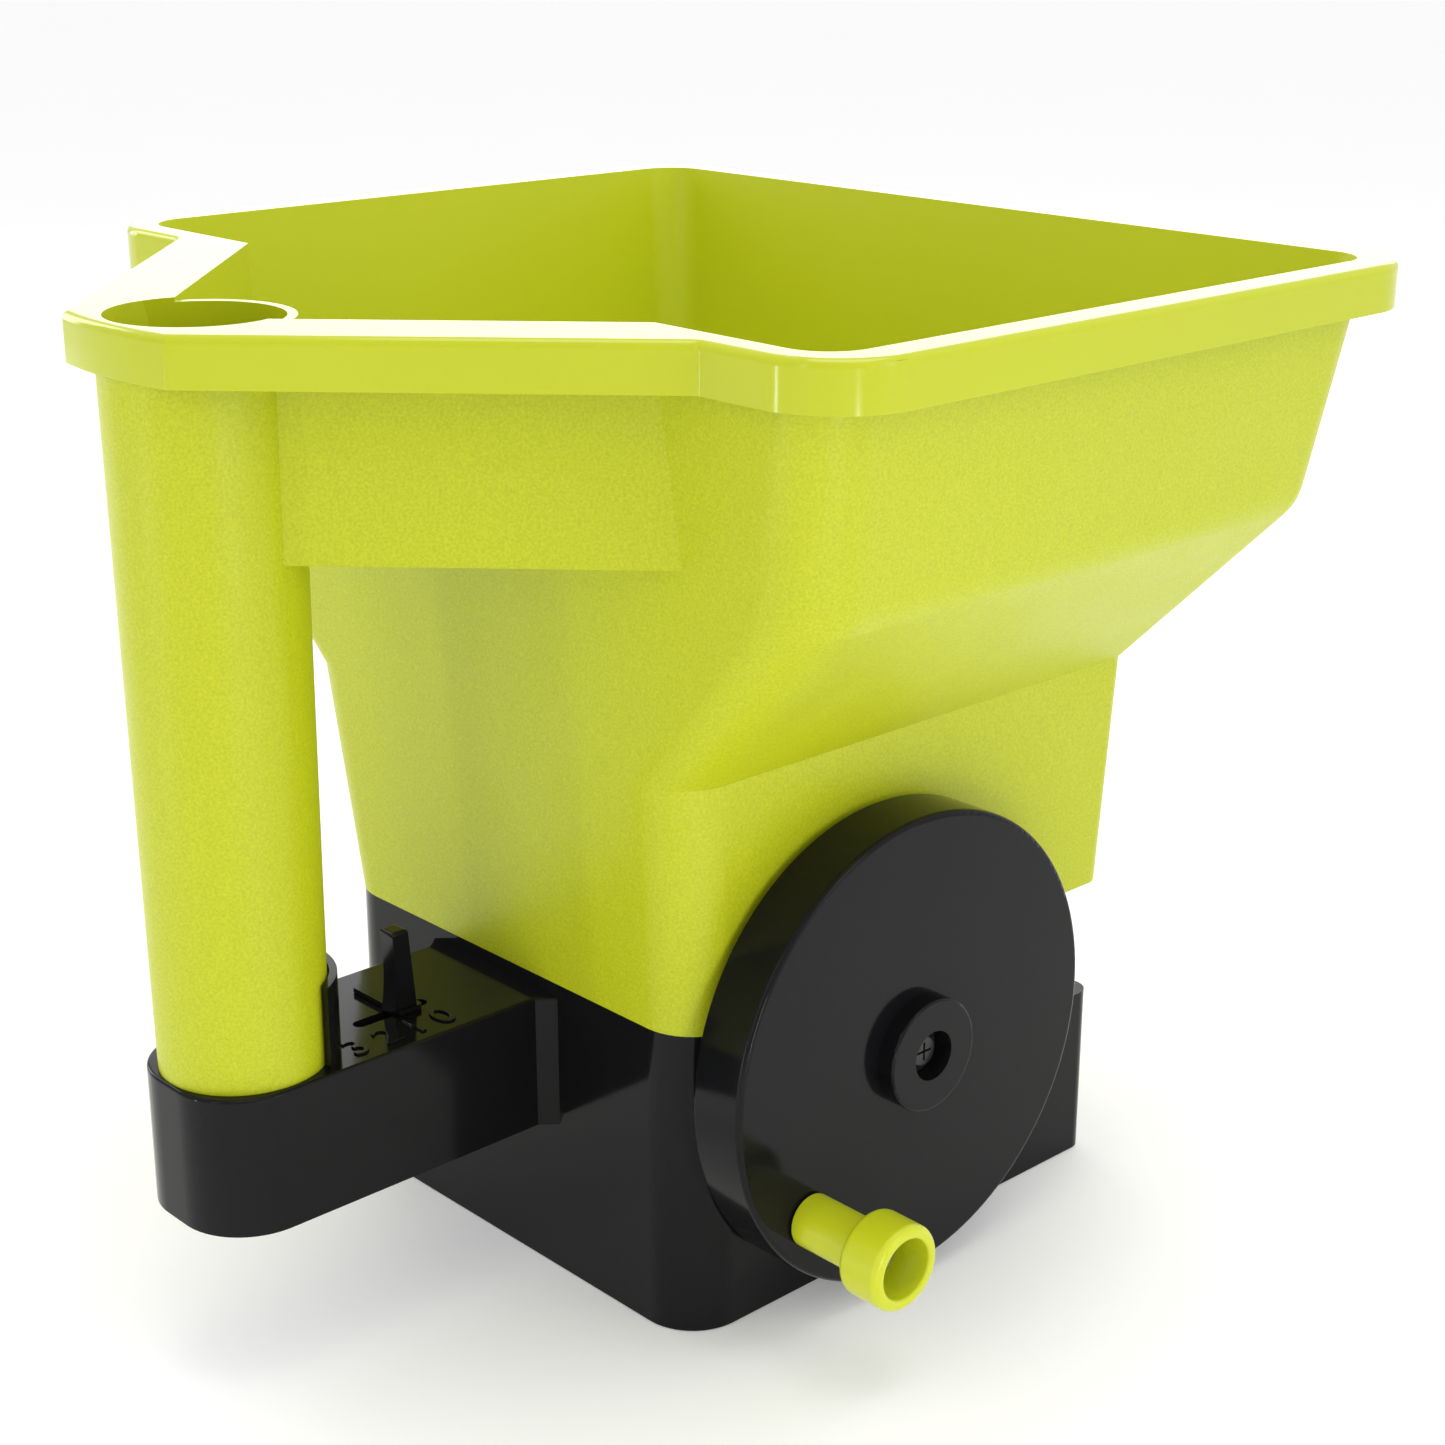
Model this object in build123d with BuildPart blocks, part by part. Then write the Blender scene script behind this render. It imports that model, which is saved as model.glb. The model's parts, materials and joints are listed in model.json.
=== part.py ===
"""Hand-held crank spreader for seed and granules, built as separate moulded and turned pieces.

Frame: +X is the crank side, +Y is the throwing side, +Z is up.
The origin is on the resting surface, under the middle of the hopper rim. All sizes are in millimetres.
"""

import os
from math import atan, cos, pi, radians, sin, sqrt, tan

from build123d import *

os.makedirs("parts", exist_ok=True)

# ---------------------------------------------------------------- driving dimensions

WALL = 2.2  # hopper moulding
BASE_WALL = 2.5  # base moulding
FIT = 0.3  # gap between pieces that are assembled by hand
RUN = 0.05  # radial play of a shaft in its bush

# base housing
BASE_HEIGHT = 77.0
BASE_LEFT = -63.0
BASE_RIGHT = 70.8
BASE_REAR = -43.5
BASE_FRONT = 101.5
BASE_REAR_RADIUS = 14.0
BASE_FRONT_RADIUS = 5.0
DECK_BOTTOM = 43.0
DECK_TOP = 45.5
OUTLET_SILL = 46.0  # lower edge of the throwing mouth
OUTLET_REAR = 62.0  # the mouth reaches this far round the sides

# arm that carries the handle tube
ARM_HALF = 20.9
ARM_END = -135.2
ARM_BOTTOM = 39.8
ARM_TOP = 73.5
ARM_ROOF = 2.1
ARM_END_RADIUS = 17.0
ARM_FLARE = 4.0  # the beam widens where it meets the base

# handle tube
TUBE_Y = -115.0
TUBE_FOOT_Z = 50.0
TUBE_FOOT_RADIUS = 19.0
TUBE_TOP_RADIUS = 20.9
TUBE_SOCKET_RADIUS = 19.35
COLLAR_INNER = 19.9
COLLAR_OUTER = 21.7
COLLAR_TOP = 93.5

# hopper
SPIGOT_BOTTOM = 71.4
FLOOR_TOP = 73.8
LEDGE_TOP = BASE_HEIGHT + WALL
CREASE_Z = 137.5  # foot of the sloping sides
BEND_Z = 184.0  # top of the sloping sides
BEND_RADIUS = 14.0
RIM_TOP = 242.5
LIP_DEPTH = 10.8
LIP_WALL = 2.2
FLANGE = 2.4
RIM_HALF = 131.6
RIM_REAR = -61.8
RIM_FRONT = 136.5
RIM_RADIUS = 20.0
NECK_HALF = 94.1  # where the handle web leaves the rear edge
END_HALF = 19.7
END_Y = -134.5
END_BULGE = 2.0
WEB_INSET = 17.5  # web side panels, inside the rim edge
WEB_BOTTOM = 191.6
PORT_HALF = 13.0
PORT_REAR = -16.0
PORT_FRONT = 0.0

# drive line
CRANK_Y = 14.5
CRANK_Z = 63.5
WHEEL_BACK = 73.0
WHEEL_FACE = 88.0
WHEEL_RADIUS = 58.7
WHEEL_SKIN = 3.5
RIM_SKIN = 2.8
BOSS_RADIUS = 14.1
BOSS_FACE = 92.8
RECESS_RADIUS = 6.2
RECESS_FLOOR = 86.8
AXLE_RADIUS = 5.0
KNOB_ARM_Y = -36.1
KNOB_ARM_Z = -31.2
KNOB_END = 119.0

MODULE = 1.5
RING_TEETH = 60
PINION_TEETH = 14
BEVEL_TEETH = 16
PRESSURE_ANGLE = 20.0
BACKLASH = 0.45  # taken off every tooth at the pitch circle
SHAFT_RADIUS = 3.0
SHAFT_Z = CRANK_Z - MODULE * (RING_TEETH - PINION_TEETH) / 2
SPINDLE_X = 4.0
SPINDLE_Y = CRANK_Y
DISC_RADIUS = 50.0
DISC_BOTTOM = 50.0
DISC_TOP = 52.4
VANE_TOP = 61.0
VANES = 6

# fastening points, seen from above
HOPPER_SCREWS = [(-54.0, -24.0), (62.0, -24.0), (-54.0, 50.0), (62.0, 50.0)]
GUIDE_SCREW_X = 19.4
GUIDE_SCREW_Y = [-34.0, -2.0]
HOPPER_SCREW_RADIUS = 1.75
GUIDE_SCREW_RADIUS = 1.25

# gate
GATE_THICKNESS = 2.0
GATE_TOP = SPIGOT_BOTTOM - FIT
GATE_BOTTOM = GATE_TOP - GATE_THICKNESS
GATE_HALF = 16.5
GATE_FRONT = -4.2  # at the first of its numbered settings
LEVER_X = 4.0
LEVER_Y = -75.5
LEVER_TOP = 94.5
GATE_CLOSE = 6.0  # travel from rest to shut
GATE_OPEN = 10.0  # travel from rest to fully open


# ---------------------------------------------------------------- shared shapes


def box_outline(left, right, rear, front, rear_radius, front_radius):
    """Closed outline of a box seen from above, with its own radius for each pair of corners."""
    FilletPolyline(
        (right, rear),
        (right, front),
        (left, front),
        (left, rear),
        radius=[rear_radius, front_radius, front_radius, rear_radius],
        close=True,
    )


def box_section(level, size, inset=0.0):
    """Sketch of a box section at a level. size is left, right, rear, front and the two radii."""
    left, right, rear, front, rear_radius, front_radius = size
    with BuildSketch(Plane.XY.offset(level)) as section:
        with BuildLine():
            box_outline(
                left + inset,
                right - inset,
                rear + inset,
                front - inset,
                max(rear_radius - inset, 0.8),
                max(front_radius - inset, 0.8),
            )
        make_face()
    return section.sketch


def blend_sizes(low, high, share):
    """Section size a share of the way from one section to another."""
    return [a + (b - a) * share for a, b in zip(low, high)]


def gear_points(teeth, module, addendum, dedendum, backlash):
    """Corner points of a spur gear outline with involute flanks, one tooth centred on +X."""
    pitch = module * teeth / 2
    base = pitch * cos(radians(PRESSURE_ANGLE))
    tip = pitch + addendum
    root = pitch - dedendum
    involute_at_pitch = tan(radians(PRESSURE_ANGLE)) - radians(PRESSURE_ANGLE)
    half_at_pitch = pi / (2 * teeth) - backlash / (2 * pitch)

    def half_angle(radius):
        """Half of the tooth's angle at a radius."""
        if radius <= base:
            return half_at_pitch + involute_at_pitch
        roll = sqrt((radius / base) ** 2 - 1)
        return half_at_pitch + involute_at_pitch - (roll - atan(roll))

    flank_foot = max(root, base)
    steps = 4
    radii = [root] if root < flank_foot else []
    radii += [flank_foot + (tip - flank_foot) * step / steps for step in range(steps + 1)]
    points = []
    for tooth in range(teeth):
        middle = 2 * pi * tooth / teeth
        for radius in radii:
            angle = middle - half_angle(radius)
            points.append((radius * cos(angle), radius * sin(angle)))
        for radius in reversed(radii):
            angle = middle + half_angle(radius)
            points.append((radius * cos(angle), radius * sin(angle)))
    return points


def gear_sketch(plane, teeth, addendum=1.3, dedendum=1.8, backlash=BACKLASH, scale=1.0, turn=0.0):
    """Spur gear outline on a plane, shrunk by a scale and turned by an angle in degrees."""
    angle = radians(turn)
    corners = [
        (scale * (x * cos(angle) - y * sin(angle)), scale * (x * sin(angle) + y * cos(angle)))
        for x, y in gear_points(teeth, MODULE, addendum, dedendum, backlash)
    ]
    with BuildSketch(plane) as outline:
        with BuildLine():
            Polyline(corners, close=True)
        make_face()
    return outline.sketch


def ring(plane, outer, inner, height):
    """Plain round ring or washer standing on a plane, along its normal."""
    with BuildPart() as body:
        with BuildSketch(plane):
            Circle(outer)
            if inner:
                Circle(inner, mode=Mode.SUBTRACT)
        extrude(amount=height)
    return body.part


def pan_screw(plane, shank_radius, length, head_radius, head_height):
    """Pan-head screw. The plane lies under the head and its normal points out of the head."""
    with BuildPart() as screw:
        with BuildSketch(plane):
            Circle(head_radius)
        extrude(amount=head_height)
        top = screw.faces().sort_by(Axis(plane.origin, plane.z_dir))[-1]
        fillet(top.edges(), head_height * 0.45)
        with BuildSketch(plane):
            Circle(shank_radius)
        extrude(amount=-length)
        with BuildSketch(plane.offset(head_height)):
            Rectangle(head_radius * 1.1, head_height * 0.35)
            Rectangle(head_height * 0.35, head_radius * 1.1)
        extrude(amount=-head_height * 0.55, mode=Mode.SUBTRACT)
    return screw.part


def bush(plane, inner, outer, length, flange_radius, flange_height):
    """Flanged bush: the flange starts on the plane, the barrel runs back behind it."""
    with BuildPart() as body:
        with BuildSketch(plane):
            Circle(flange_radius)
        extrude(amount=flange_height)
        with BuildSketch(plane):
            Circle(outer)
        extrude(amount=-length)
        with BuildSketch(plane.offset(flange_height)):
            Circle(inner)
        extrude(amount=-length - flange_height, mode=Mode.SUBTRACT)
    return body.part


def finish(body, label):
    """Name a finished piece and write it."""
    body.label = label
    export_step(body, f"parts/{label}.step")


def x_plane(x, y, z):
    """Plane across the X axis, with its normal pointing towards the crank side."""
    return Plane(origin=(x, y, z), x_dir=(0, 1, 0), z_dir=(1, 0, 0))


# ---------------------------------------------------------------- hopper, rim and handle tube

LOW_SIZE = [BASE_LEFT, BASE_RIGHT, BASE_REAR, 103.0, BASE_REAR_RADIUS, 5.0]
CREASE_SIZE = [-70.4, 71.2, -47.5, 108.0, 15.0, 5.0]
BEND_SIZE = [-115.0, 115.0, -51.5, 121.5, 16.0, 11.0]
SPIGOT_GAP = BASE_WALL + FIT
SPIGOT_SIZE = [
    BASE_LEFT + SPIGOT_GAP,
    BASE_RIGHT - SPIGOT_GAP,
    BASE_REAR + SPIGOT_GAP,
    OUTLET_REAR - FIT,
    11.2,
    2.5,
]
FRONT_ROUND = 4.0
TOP_SIZE = [-124.4, 124.4, -56.7, 129.5, 13.0, 13.0]

# the bend between the sloping sides and the upper walls is a round one, in short flats
SLOPE_ANGLE = atan((BEND_SIZE[1] - CREASE_SIZE[1]) / (BEND_Z - CREASE_Z))
WALL_ANGLE = atan((TOP_SIZE[1] - BEND_SIZE[1]) / (RIM_TOP - BEND_Z))
BEND_REACH = BEND_RADIUS * tan((SLOPE_ANGLE - WALL_ANGLE) / 2)
BEND_START = BEND_REACH * cos(SLOPE_ANGLE) / (BEND_Z - CREASE_Z)
BEND_FINISH = BEND_REACH * cos(WALL_ANGLE) / (RIM_TOP - BEND_Z)
BEND_STEPS = 6


def bend_sections():
    """Levels and sizes that follow the round bend from the slope into the upper wall."""
    start = blend_sizes(BEND_SIZE, CREASE_SIZE, BEND_START)
    end = blend_sizes(BEND_SIZE, TOP_SIZE, BEND_FINISH)
    start_z = BEND_Z - BEND_START * (BEND_Z - CREASE_Z)
    end_z = BEND_Z + BEND_FINISH * (RIM_TOP - BEND_Z)
    levels = []
    for step in range(BEND_STEPS + 1):
        share = step / BEND_STEPS
        first = (1 - share) ** 2
        middle = 2 * share * (1 - share)
        last = share**2
        level = first * start_z + middle * BEND_Z + last * end_z
        size = [first * a + middle * b + last * c for a, b, c in zip(start, BEND_SIZE, end)]
        levels.append((level, size))
    return levels


def web_outline(inset, rear):
    """Plan of the web between the bin and the handle tube, inside the rim edge by an inset."""
    run_x = NECK_HALF - END_HALF
    run_y = RIM_REAR - END_Y
    length = sqrt(run_x**2 + run_y**2)
    shift_x = -inset * run_y / length
    shift_y = inset * run_x / length
    slope = run_y / run_x
    neck_x = NECK_HALF + shift_x
    neck_y = RIM_REAR + shift_y
    front = BASE_REAR
    front_x = neck_x + (front - neck_y) / slope
    rear_x = neck_x + (rear - neck_y) / slope
    Polyline((front_x, front), (rear_x, rear), (-rear_x, rear), (-front_x, front), close=True)


def rim_outline():
    """Outer edge of the rim: a rounded rectangle that runs back to the handle end."""
    Polyline(
        (END_HALF, END_Y),
        (NECK_HALF, RIM_REAR),
        (RIM_HALF, RIM_REAR),
        (RIM_HALF, RIM_FRONT),
        (-RIM_HALF, RIM_FRONT),
        (-RIM_HALF, RIM_REAR),
        (-NECK_HALF, RIM_REAR),
        (-END_HALF, END_Y),
    )
    ThreePointArc((-END_HALF, END_Y), (0, END_Y - END_BULGE), (END_HALF, END_Y))


def rim_sketch(level, inset=0.0):
    """Face of the rim outline at a level, pulled in by an inset."""
    with BuildSketch(Plane.XY.offset(level)) as face:
        with BuildLine():
            rim_outline()
        make_face()
        far_corners = face.vertices().filter_by(lambda v: abs(v.X) > RIM_HALF - 1)
        fillet(far_corners, RIM_RADIUS)
        near_corners = face.vertices().filter_by(lambda v: abs(v.X) < NECK_HALF + 1 and v.Y < RIM_REAR + 1)
        fillet(near_corners, 3.0)
        if inset:
            offset(amount=-inset)
    return face.sketch


def tube_cone(low, high, inset):
    """Solid of the handle tube's taper between two levels, drawn in by an inset."""
    slope = (TUBE_TOP_RADIUS - TUBE_FOOT_RADIUS) / (RIM_TOP - TUBE_FOOT_Z)
    with BuildPart() as cone:
        for level in (low, high):
            with BuildSketch(Plane.XY.offset(level)):
                with Locations((0, TUBE_Y)):
                    Circle(TUBE_FOOT_RADIUS - inset + slope * (level - TUBE_FOOT_Z))
        loft()
    return cone.part


with BuildPart() as hopper:
    # rim: a flat flange with a lip turned down all round
    extrude(rim_sketch(RIM_TOP - LIP_DEPTH), amount=LIP_DEPTH)
    fillet(hopper.faces().sort_by(Axis.Z)[-1].edges(), 1.9)
    extrude(rim_sketch(RIM_TOP - LIP_DEPTH, LIP_WALL), amount=LIP_DEPTH - FLANGE, mode=Mode.SUBTRACT)

    # bin walls
    loft(
        [box_section(BASE_HEIGHT, LOW_SIZE), box_section(CREASE_Z, CREASE_SIZE)]
        + [box_section(level, size) for level, size in bend_sections()]
        + [box_section(RIM_TOP - 0.5, TOP_SIZE)],
        ruled=True,
    )

    # web between the bin and the handle tube
    with BuildSketch(Plane.XY.offset(WEB_BOTTOM)):
        with BuildLine():
            web_outline(WEB_INSET, TUBE_Y)
        make_face()
    extrude(amount=RIM_TOP - 0.5 - WEB_BOTTOM)

    # round front edge under the bin
    with BuildSketch(Plane.YZ):
        with Locations((LOW_SIZE[3] - FRONT_ROUND, BASE_HEIGHT + FRONT_ROUND)):
            Rectangle(FRONT_ROUND + 2, FRONT_ROUND + 2, align=(Align.MIN, Align.MAX))
            Circle(FRONT_ROUND, mode=Mode.SUBTRACT)
    extrude(amount=RIM_HALF, both=True, mode=Mode.SUBTRACT)

    # spigot that drops into the base
    extrude(box_section(SPIGOT_BOTTOM, SPIGOT_SIZE), amount=BASE_HEIGHT + 0.1 - SPIGOT_BOTTOM)

    # inside of the bin, web and spigot
    inner_bend = [(level + 1.0, size) for level, size in bend_sections()]
    loft(
        [box_section(LEDGE_TOP, LOW_SIZE, WALL), box_section(CREASE_Z + 0.9, CREASE_SIZE, WALL)]
        + [box_section(level, size, WALL) for level, size in inner_bend]
        + [box_section(RIM_TOP + 0.5, TOP_SIZE, WALL)],
        ruled=True,
        mode=Mode.SUBTRACT,
    )
    with BuildSketch(Plane.XY.offset(WEB_BOTTOM + WALL)):
        with BuildLine():
            web_outline(WEB_INSET + WALL, TUBE_Y + 1.0)
        make_face()
    extrude(amount=RIM_TOP - WEB_BOTTOM, mode=Mode.SUBTRACT)
    extrude(
        box_section(FLOOR_TOP, SPIGOT_SIZE, WALL),
        amount=LEDGE_TOP + 0.5 - FLOOR_TOP,
        mode=Mode.SUBTRACT,
    )

    # seat of the handle tube: the web is cut to the tube and the tube's top ring is part of the rim
    add(tube_cone(TUBE_FOOT_Z, RIM_TOP - LIP_DEPTH, 0), mode=Mode.SUBTRACT)
    add(tube_cone(RIM_TOP - LIP_DEPTH, RIM_TOP - 1.0, 0))
    add(tube_cone(RIM_TOP - LIP_DEPTH - 1.0, RIM_TOP + 0.5, WALL), mode=Mode.SUBTRACT)

    # outlet port and spindle hole in the floor
    with BuildSketch(Plane.XY.offset(SPIGOT_BOTTOM)):
        with Locations((0, (PORT_REAR + PORT_FRONT) / 2)):
            RectangleRounded(2 * PORT_HALF, PORT_FRONT - PORT_REAR, 2.0)
        with Locations((SPINDLE_X, SPINDLE_Y)):
            Circle(5.0)
    extrude(amount=LEDGE_TOP - SPIGOT_BOTTOM, mode=Mode.SUBTRACT)

    # bosses for the screws that come up from the base, and pilot holes for the gate guides
    with BuildSketch(Plane.XY.offset(FLOOR_TOP - 0.5)):
        with Locations(HOPPER_SCREWS):
            Circle(4.5)
    extrude(amount=9.0)
    with BuildSketch(Plane.XY.offset(SPIGOT_BOTTOM)):
        with Locations(HOPPER_SCREWS):
            Circle(HOPPER_SCREW_RADIUS)
    extrude(amount=9.0, mode=Mode.SUBTRACT)
    with BuildSketch(Plane.XY.offset(SPIGOT_BOTTOM)):
        with Locations([(side * GUIDE_SCREW_X, y) for side in (-1, 1) for y in GUIDE_SCREW_Y]):
            Circle(GUIDE_SCREW_RADIUS)
    extrude(amount=1.8, mode=Mode.SUBTRACT)
finish(hopper.part, "hopper")


# ---------------------------------------------------------------- handle tube

with BuildPart() as handle_tube:
    add(tube_cone(TUBE_FOOT_Z, RIM_TOP - LIP_DEPTH, 0))
    add(tube_cone(TUBE_FOOT_Z + 4.0, RIM_TOP, WALL), mode=Mode.SUBTRACT)
    with BuildSketch(Plane.XY.offset(TUBE_FOOT_Z + 3.5)):
        with Locations((0, TUBE_Y)):
            Circle(5.0)
    extrude(amount=12.0)
    with BuildSketch(Plane.XY.offset(TUBE_FOOT_Z)):
        with Locations((0, TUBE_Y)):
            Circle(2.0)
    extrude(amount=13.0, mode=Mode.SUBTRACT)
finish(handle_tube.part, "handle_tube")


# ---------------------------------------------------------------- base housing

BASE_SIZE = [BASE_LEFT, BASE_RIGHT, BASE_REAR, BASE_FRONT, BASE_REAR_RADIUS, BASE_FRONT_RADIUS]
CORNER_POSTS = [(-50.0, -31.0), (58.0, -31.0), (-50.0, 89.0), (58.0, 89.0)]
POST_RADIUS = 4.5
LUG_TOP = SPIGOT_BOTTOM - 0.1
LUG_BOTTOM = LUG_TOP - 4.0
COVER_BOTTOM = 0.8
COVER_TOP = 3.2
BRACKET_X = 27.0
BRACKET_THICKNESS = 4.0
BUSH_RADIUS = 5.0
BOSS_TOP = DECK_TOP + 2.5
HANDLE_SEAT = 44.0
WALL_BOSS = 6.0
AXLE_SEAT = 12.0


def arm_sketch(level, inset, rear):
    """Plan of the arm at a level, pulled in by an inset."""
    radius = ARM_END_RADIUS - inset if rear == ARM_END else 1.0
    front = [(ARM_HALF - inset, BASE_REAR - inset), (-ARM_HALF + inset, BASE_REAR - inset)]
    if inset == 0:
        front = [
            (ARM_HALF, BASE_REAR - ARM_FLARE),
            (ARM_HALF + ARM_FLARE, BASE_REAR),
            (-ARM_HALF - ARM_FLARE, BASE_REAR),
            (-ARM_HALF, BASE_REAR - ARM_FLARE),
        ]
    with BuildSketch(Plane.XY.offset(level)) as face:
        with BuildLine():
            FilletPolyline(
                *front,
                (-ARM_HALF + inset, rear + inset),
                (ARM_HALF - inset, rear + inset),
                radius=[0] * len(front) + [radius, radius],
                close=True,
            )
        make_face()
    return face.sketch


with BuildPart() as base_housing:
    # open-topped box
    extrude(box_section(0, BASE_SIZE), amount=BASE_HEIGHT)
    extrude(box_section(-1, BASE_SIZE, BASE_WALL), amount=DECK_BOTTOM + 1, mode=Mode.SUBTRACT)
    extrude(box_section(DECK_TOP, BASE_SIZE, BASE_WALL), amount=BASE_HEIGHT, mode=Mode.SUBTRACT)

    # throwing mouth: the front and the front ends of the sides stop at the sill
    with BuildSketch(Plane.XY.offset(OUTLET_SILL)):
        with Locations((0, OUTLET_REAR)):
            Rectangle(300, 100, align=(Align.CENTER, Align.MIN))
    extrude(amount=BASE_HEIGHT, mode=Mode.SUBTRACT)

    # gap that the gate slides through
    with BuildSketch(Plane.XY.offset(GATE_BOTTOM - FIT)):
        with Locations((0, BASE_REAR)):
            Rectangle(2 * GATE_HALF + 1.0, 12.0)
    extrude(amount=GATE_THICKNESS + 2 * FIT, mode=Mode.SUBTRACT)

    # posts for the cover screws
    with BuildSketch(Plane.XY.offset(COVER_TOP + 0.1)):
        with Locations(CORNER_POSTS):
            Circle(POST_RADIUS)
    extrude(amount=DECK_BOTTOM - COVER_TOP)
    with BuildSketch(Plane.XY.offset(COVER_TOP)):
        with Locations(CORNER_POSTS):
            Circle(1.6)
    extrude(amount=14.0, mode=Mode.SUBTRACT)

    # lugs that the hopper stands on and is screwed to
    with BuildSketch(Plane.XY.offset(LUG_BOTTOM)):
        for x, y in HOPPER_SCREWS:
            wall_x = BASE_LEFT if x < 0 else BASE_RIGHT
            with Locations(((x + wall_x) / 2, y)):
                Rectangle(abs(wall_x - x), 12.0)
            with Locations((x, y)):
                Circle(6.0)
    extrude(amount=LUG_TOP - LUG_BOTTOM)
    with BuildSketch(Plane.XY.offset(LUG_BOTTOM)):
        with Locations(HOPPER_SCREWS):
            Circle(2.2)
    extrude(amount=LUG_TOP - LUG_BOTTOM, mode=Mode.SUBTRACT)

    # spindle bearing boss on the deck
    with BuildSketch(Plane.XY.offset(DECK_TOP - 0.5)):
        with Locations((SPINDLE_X, SPINDLE_Y)):
            Circle(8.0)
    extrude(amount=BOSS_TOP - DECK_TOP + 0.5)
    with BuildSketch(Plane.XY.offset(DECK_BOTTOM)):
        with Locations((SPINDLE_X, SPINDLE_Y)):
            Circle(BUSH_RADIUS)
    extrude(amount=BOSS_TOP - DECK_BOTTOM, mode=Mode.SUBTRACT)

    # bracket under the deck for the inner end of the cross shaft
    with BuildSketch(x_plane(BRACKET_X, CRANK_Y, 0)):
        with Locations((0, (SHAFT_Z - 8.0 + DECK_BOTTOM) / 2)):
            Rectangle(20.0, DECK_BOTTOM - SHAFT_Z + 8.1)
    extrude(amount=BRACKET_THICKNESS)
    with BuildSketch(x_plane(BRACKET_X, CRANK_Y, SHAFT_Z)):
        Circle(BUSH_RADIUS)
    extrude(amount=BASE_RIGHT - BRACKET_X + 1, mode=Mode.SUBTRACT)

    # bosses in the crank-side wall for the outer bush and the crank axle
    with BuildSketch(x_plane(BASE_RIGHT - BASE_WALL - WALL_BOSS, CRANK_Y, SHAFT_Z)):
        Circle(8.0)
        Circle(BUSH_RADIUS, mode=Mode.SUBTRACT)
    extrude(amount=WALL_BOSS + 1)
    with BuildSketch(x_plane(BASE_RIGHT - BASE_WALL - AXLE_SEAT, CRANK_Y, CRANK_Z)):
        Circle(7.5)
    extrude(amount=AXLE_SEAT + 1)
    with BuildSketch(x_plane(BASE_RIGHT - BASE_WALL - AXLE_SEAT, CRANK_Y, CRANK_Z)):
        Circle(AXLE_RADIUS)
    extrude(amount=AXLE_SEAT + 10, mode=Mode.SUBTRACT)
finish(base_housing.part, "base_housing")


# ---------------------------------------------------------------- handle arm

with BuildPart() as handle_arm:
    # beam, open below, with a closed socket for the foot of the tube
    extrude(arm_sketch(ARM_BOTTOM, 0, ARM_END), amount=ARM_TOP - ARM_BOTTOM)
    arm_roof = handle_arm.faces().sort_by(Axis.Z)[-1]
    fillet(arm_roof.edges().filter_by_position(Axis.Y, -200, BASE_REAR - 1.0), 0.8)
    extrude(arm_sketch(ARM_BOTTOM - 1, BASE_WALL, ARM_END), amount=47.0 - ARM_BOTTOM + 1, mode=Mode.SUBTRACT)
    extrude(
        arm_sketch(ARM_BOTTOM - 1, BASE_WALL, -95.0),
        amount=ARM_TOP - ARM_ROOF - ARM_BOTTOM + 1,
        mode=Mode.SUBTRACT,
    )
    with BuildSketch(Plane.XY.offset(TUBE_FOOT_Z)):
        with Locations((0, TUBE_Y)):
            Circle(TUBE_SOCKET_RADIUS)
    extrude(amount=ARM_TOP, mode=Mode.SUBTRACT)
    with BuildSketch(Plane.XY.offset(HANDLE_SEAT)):
        with Locations((0, TUBE_Y)):
            Circle(6.0)
    extrude(amount=TUBE_FOOT_Z - HANDLE_SEAT)
    with BuildSketch(Plane.XY.offset(HANDLE_SEAT)):
        with Locations((0, TUBE_Y)):
            Circle(2.3)
    extrude(amount=TUBE_FOOT_Z - HANDLE_SEAT, mode=Mode.SUBTRACT)

    # collar that steadies the front of the tube
    with BuildSketch(Plane.XY.offset(ARM_TOP - 1.0)):
        with Locations((0, TUBE_Y)):
            Circle(COLLAR_OUTER)
            Circle(COLLAR_INNER, mode=Mode.SUBTRACT)
        with Locations((0, TUBE_Y + 10.5)):
            Rectangle(60, 60, align=(Align.CENTER, Align.MAX), mode=Mode.SUBTRACT)
    extrude(amount=COLLAR_TOP - ARM_TOP + 1.0)

    # slot for the gate lever, and the gap in the front wall that the gate slides through
    with BuildSketch(Plane.XY.offset(ARM_TOP - ARM_ROOF - 1)):
        with Locations((LEVER_X, LEVER_Y + (GATE_CLOSE - GATE_OPEN) / 2)):
            SlotOverall(GATE_CLOSE + GATE_OPEN + 4.6, 3.6, rotation=90)
    extrude(amount=ARM_ROOF + 2, mode=Mode.SUBTRACT)
    with BuildSketch(Plane.XY.offset(GATE_BOTTOM - FIT)):
        with Locations((0, BASE_REAR)):
            Rectangle(2 * GATE_HALF + 1.0, 12.0)
    extrude(amount=GATE_THICKNESS + 2 * FIT, mode=Mode.SUBTRACT)
finish(handle_arm.part, "handle_arm")


# -------------------------------------------------------------- bottom cover

with BuildPart() as bottom_cover:
    extrude(box_section(COVER_BOTTOM, BASE_SIZE, BASE_WALL + FIT), amount=COVER_TOP - COVER_BOTTOM)
    with BuildSketch(Plane.XY.offset(COVER_TOP - 0.1)):
        with Locations((SPINDLE_X, SPINDLE_Y)):
            Circle(8.0)
    extrude(amount=6.6)
    with BuildSketch(Plane.XY.offset(COVER_TOP - 0.9)):
        with Locations((SPINDLE_X, SPINDLE_Y)):
            Circle(BUSH_RADIUS)
    extrude(amount=10.0, mode=Mode.SUBTRACT)
    with BuildSketch(Plane.XY.offset(COVER_BOTTOM)):
        with Locations(CORNER_POSTS):
            Circle(1.9)
    extrude(amount=5.0, mode=Mode.SUBTRACT)
    with BuildSketch(Plane.XY.offset(COVER_BOTTOM)):
        with Locations(CORNER_POSTS):
            Circle(4.4)
    extrude(amount=1.5, mode=Mode.SUBTRACT)
finish(bottom_cover.part, "bottom_cover")


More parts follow.
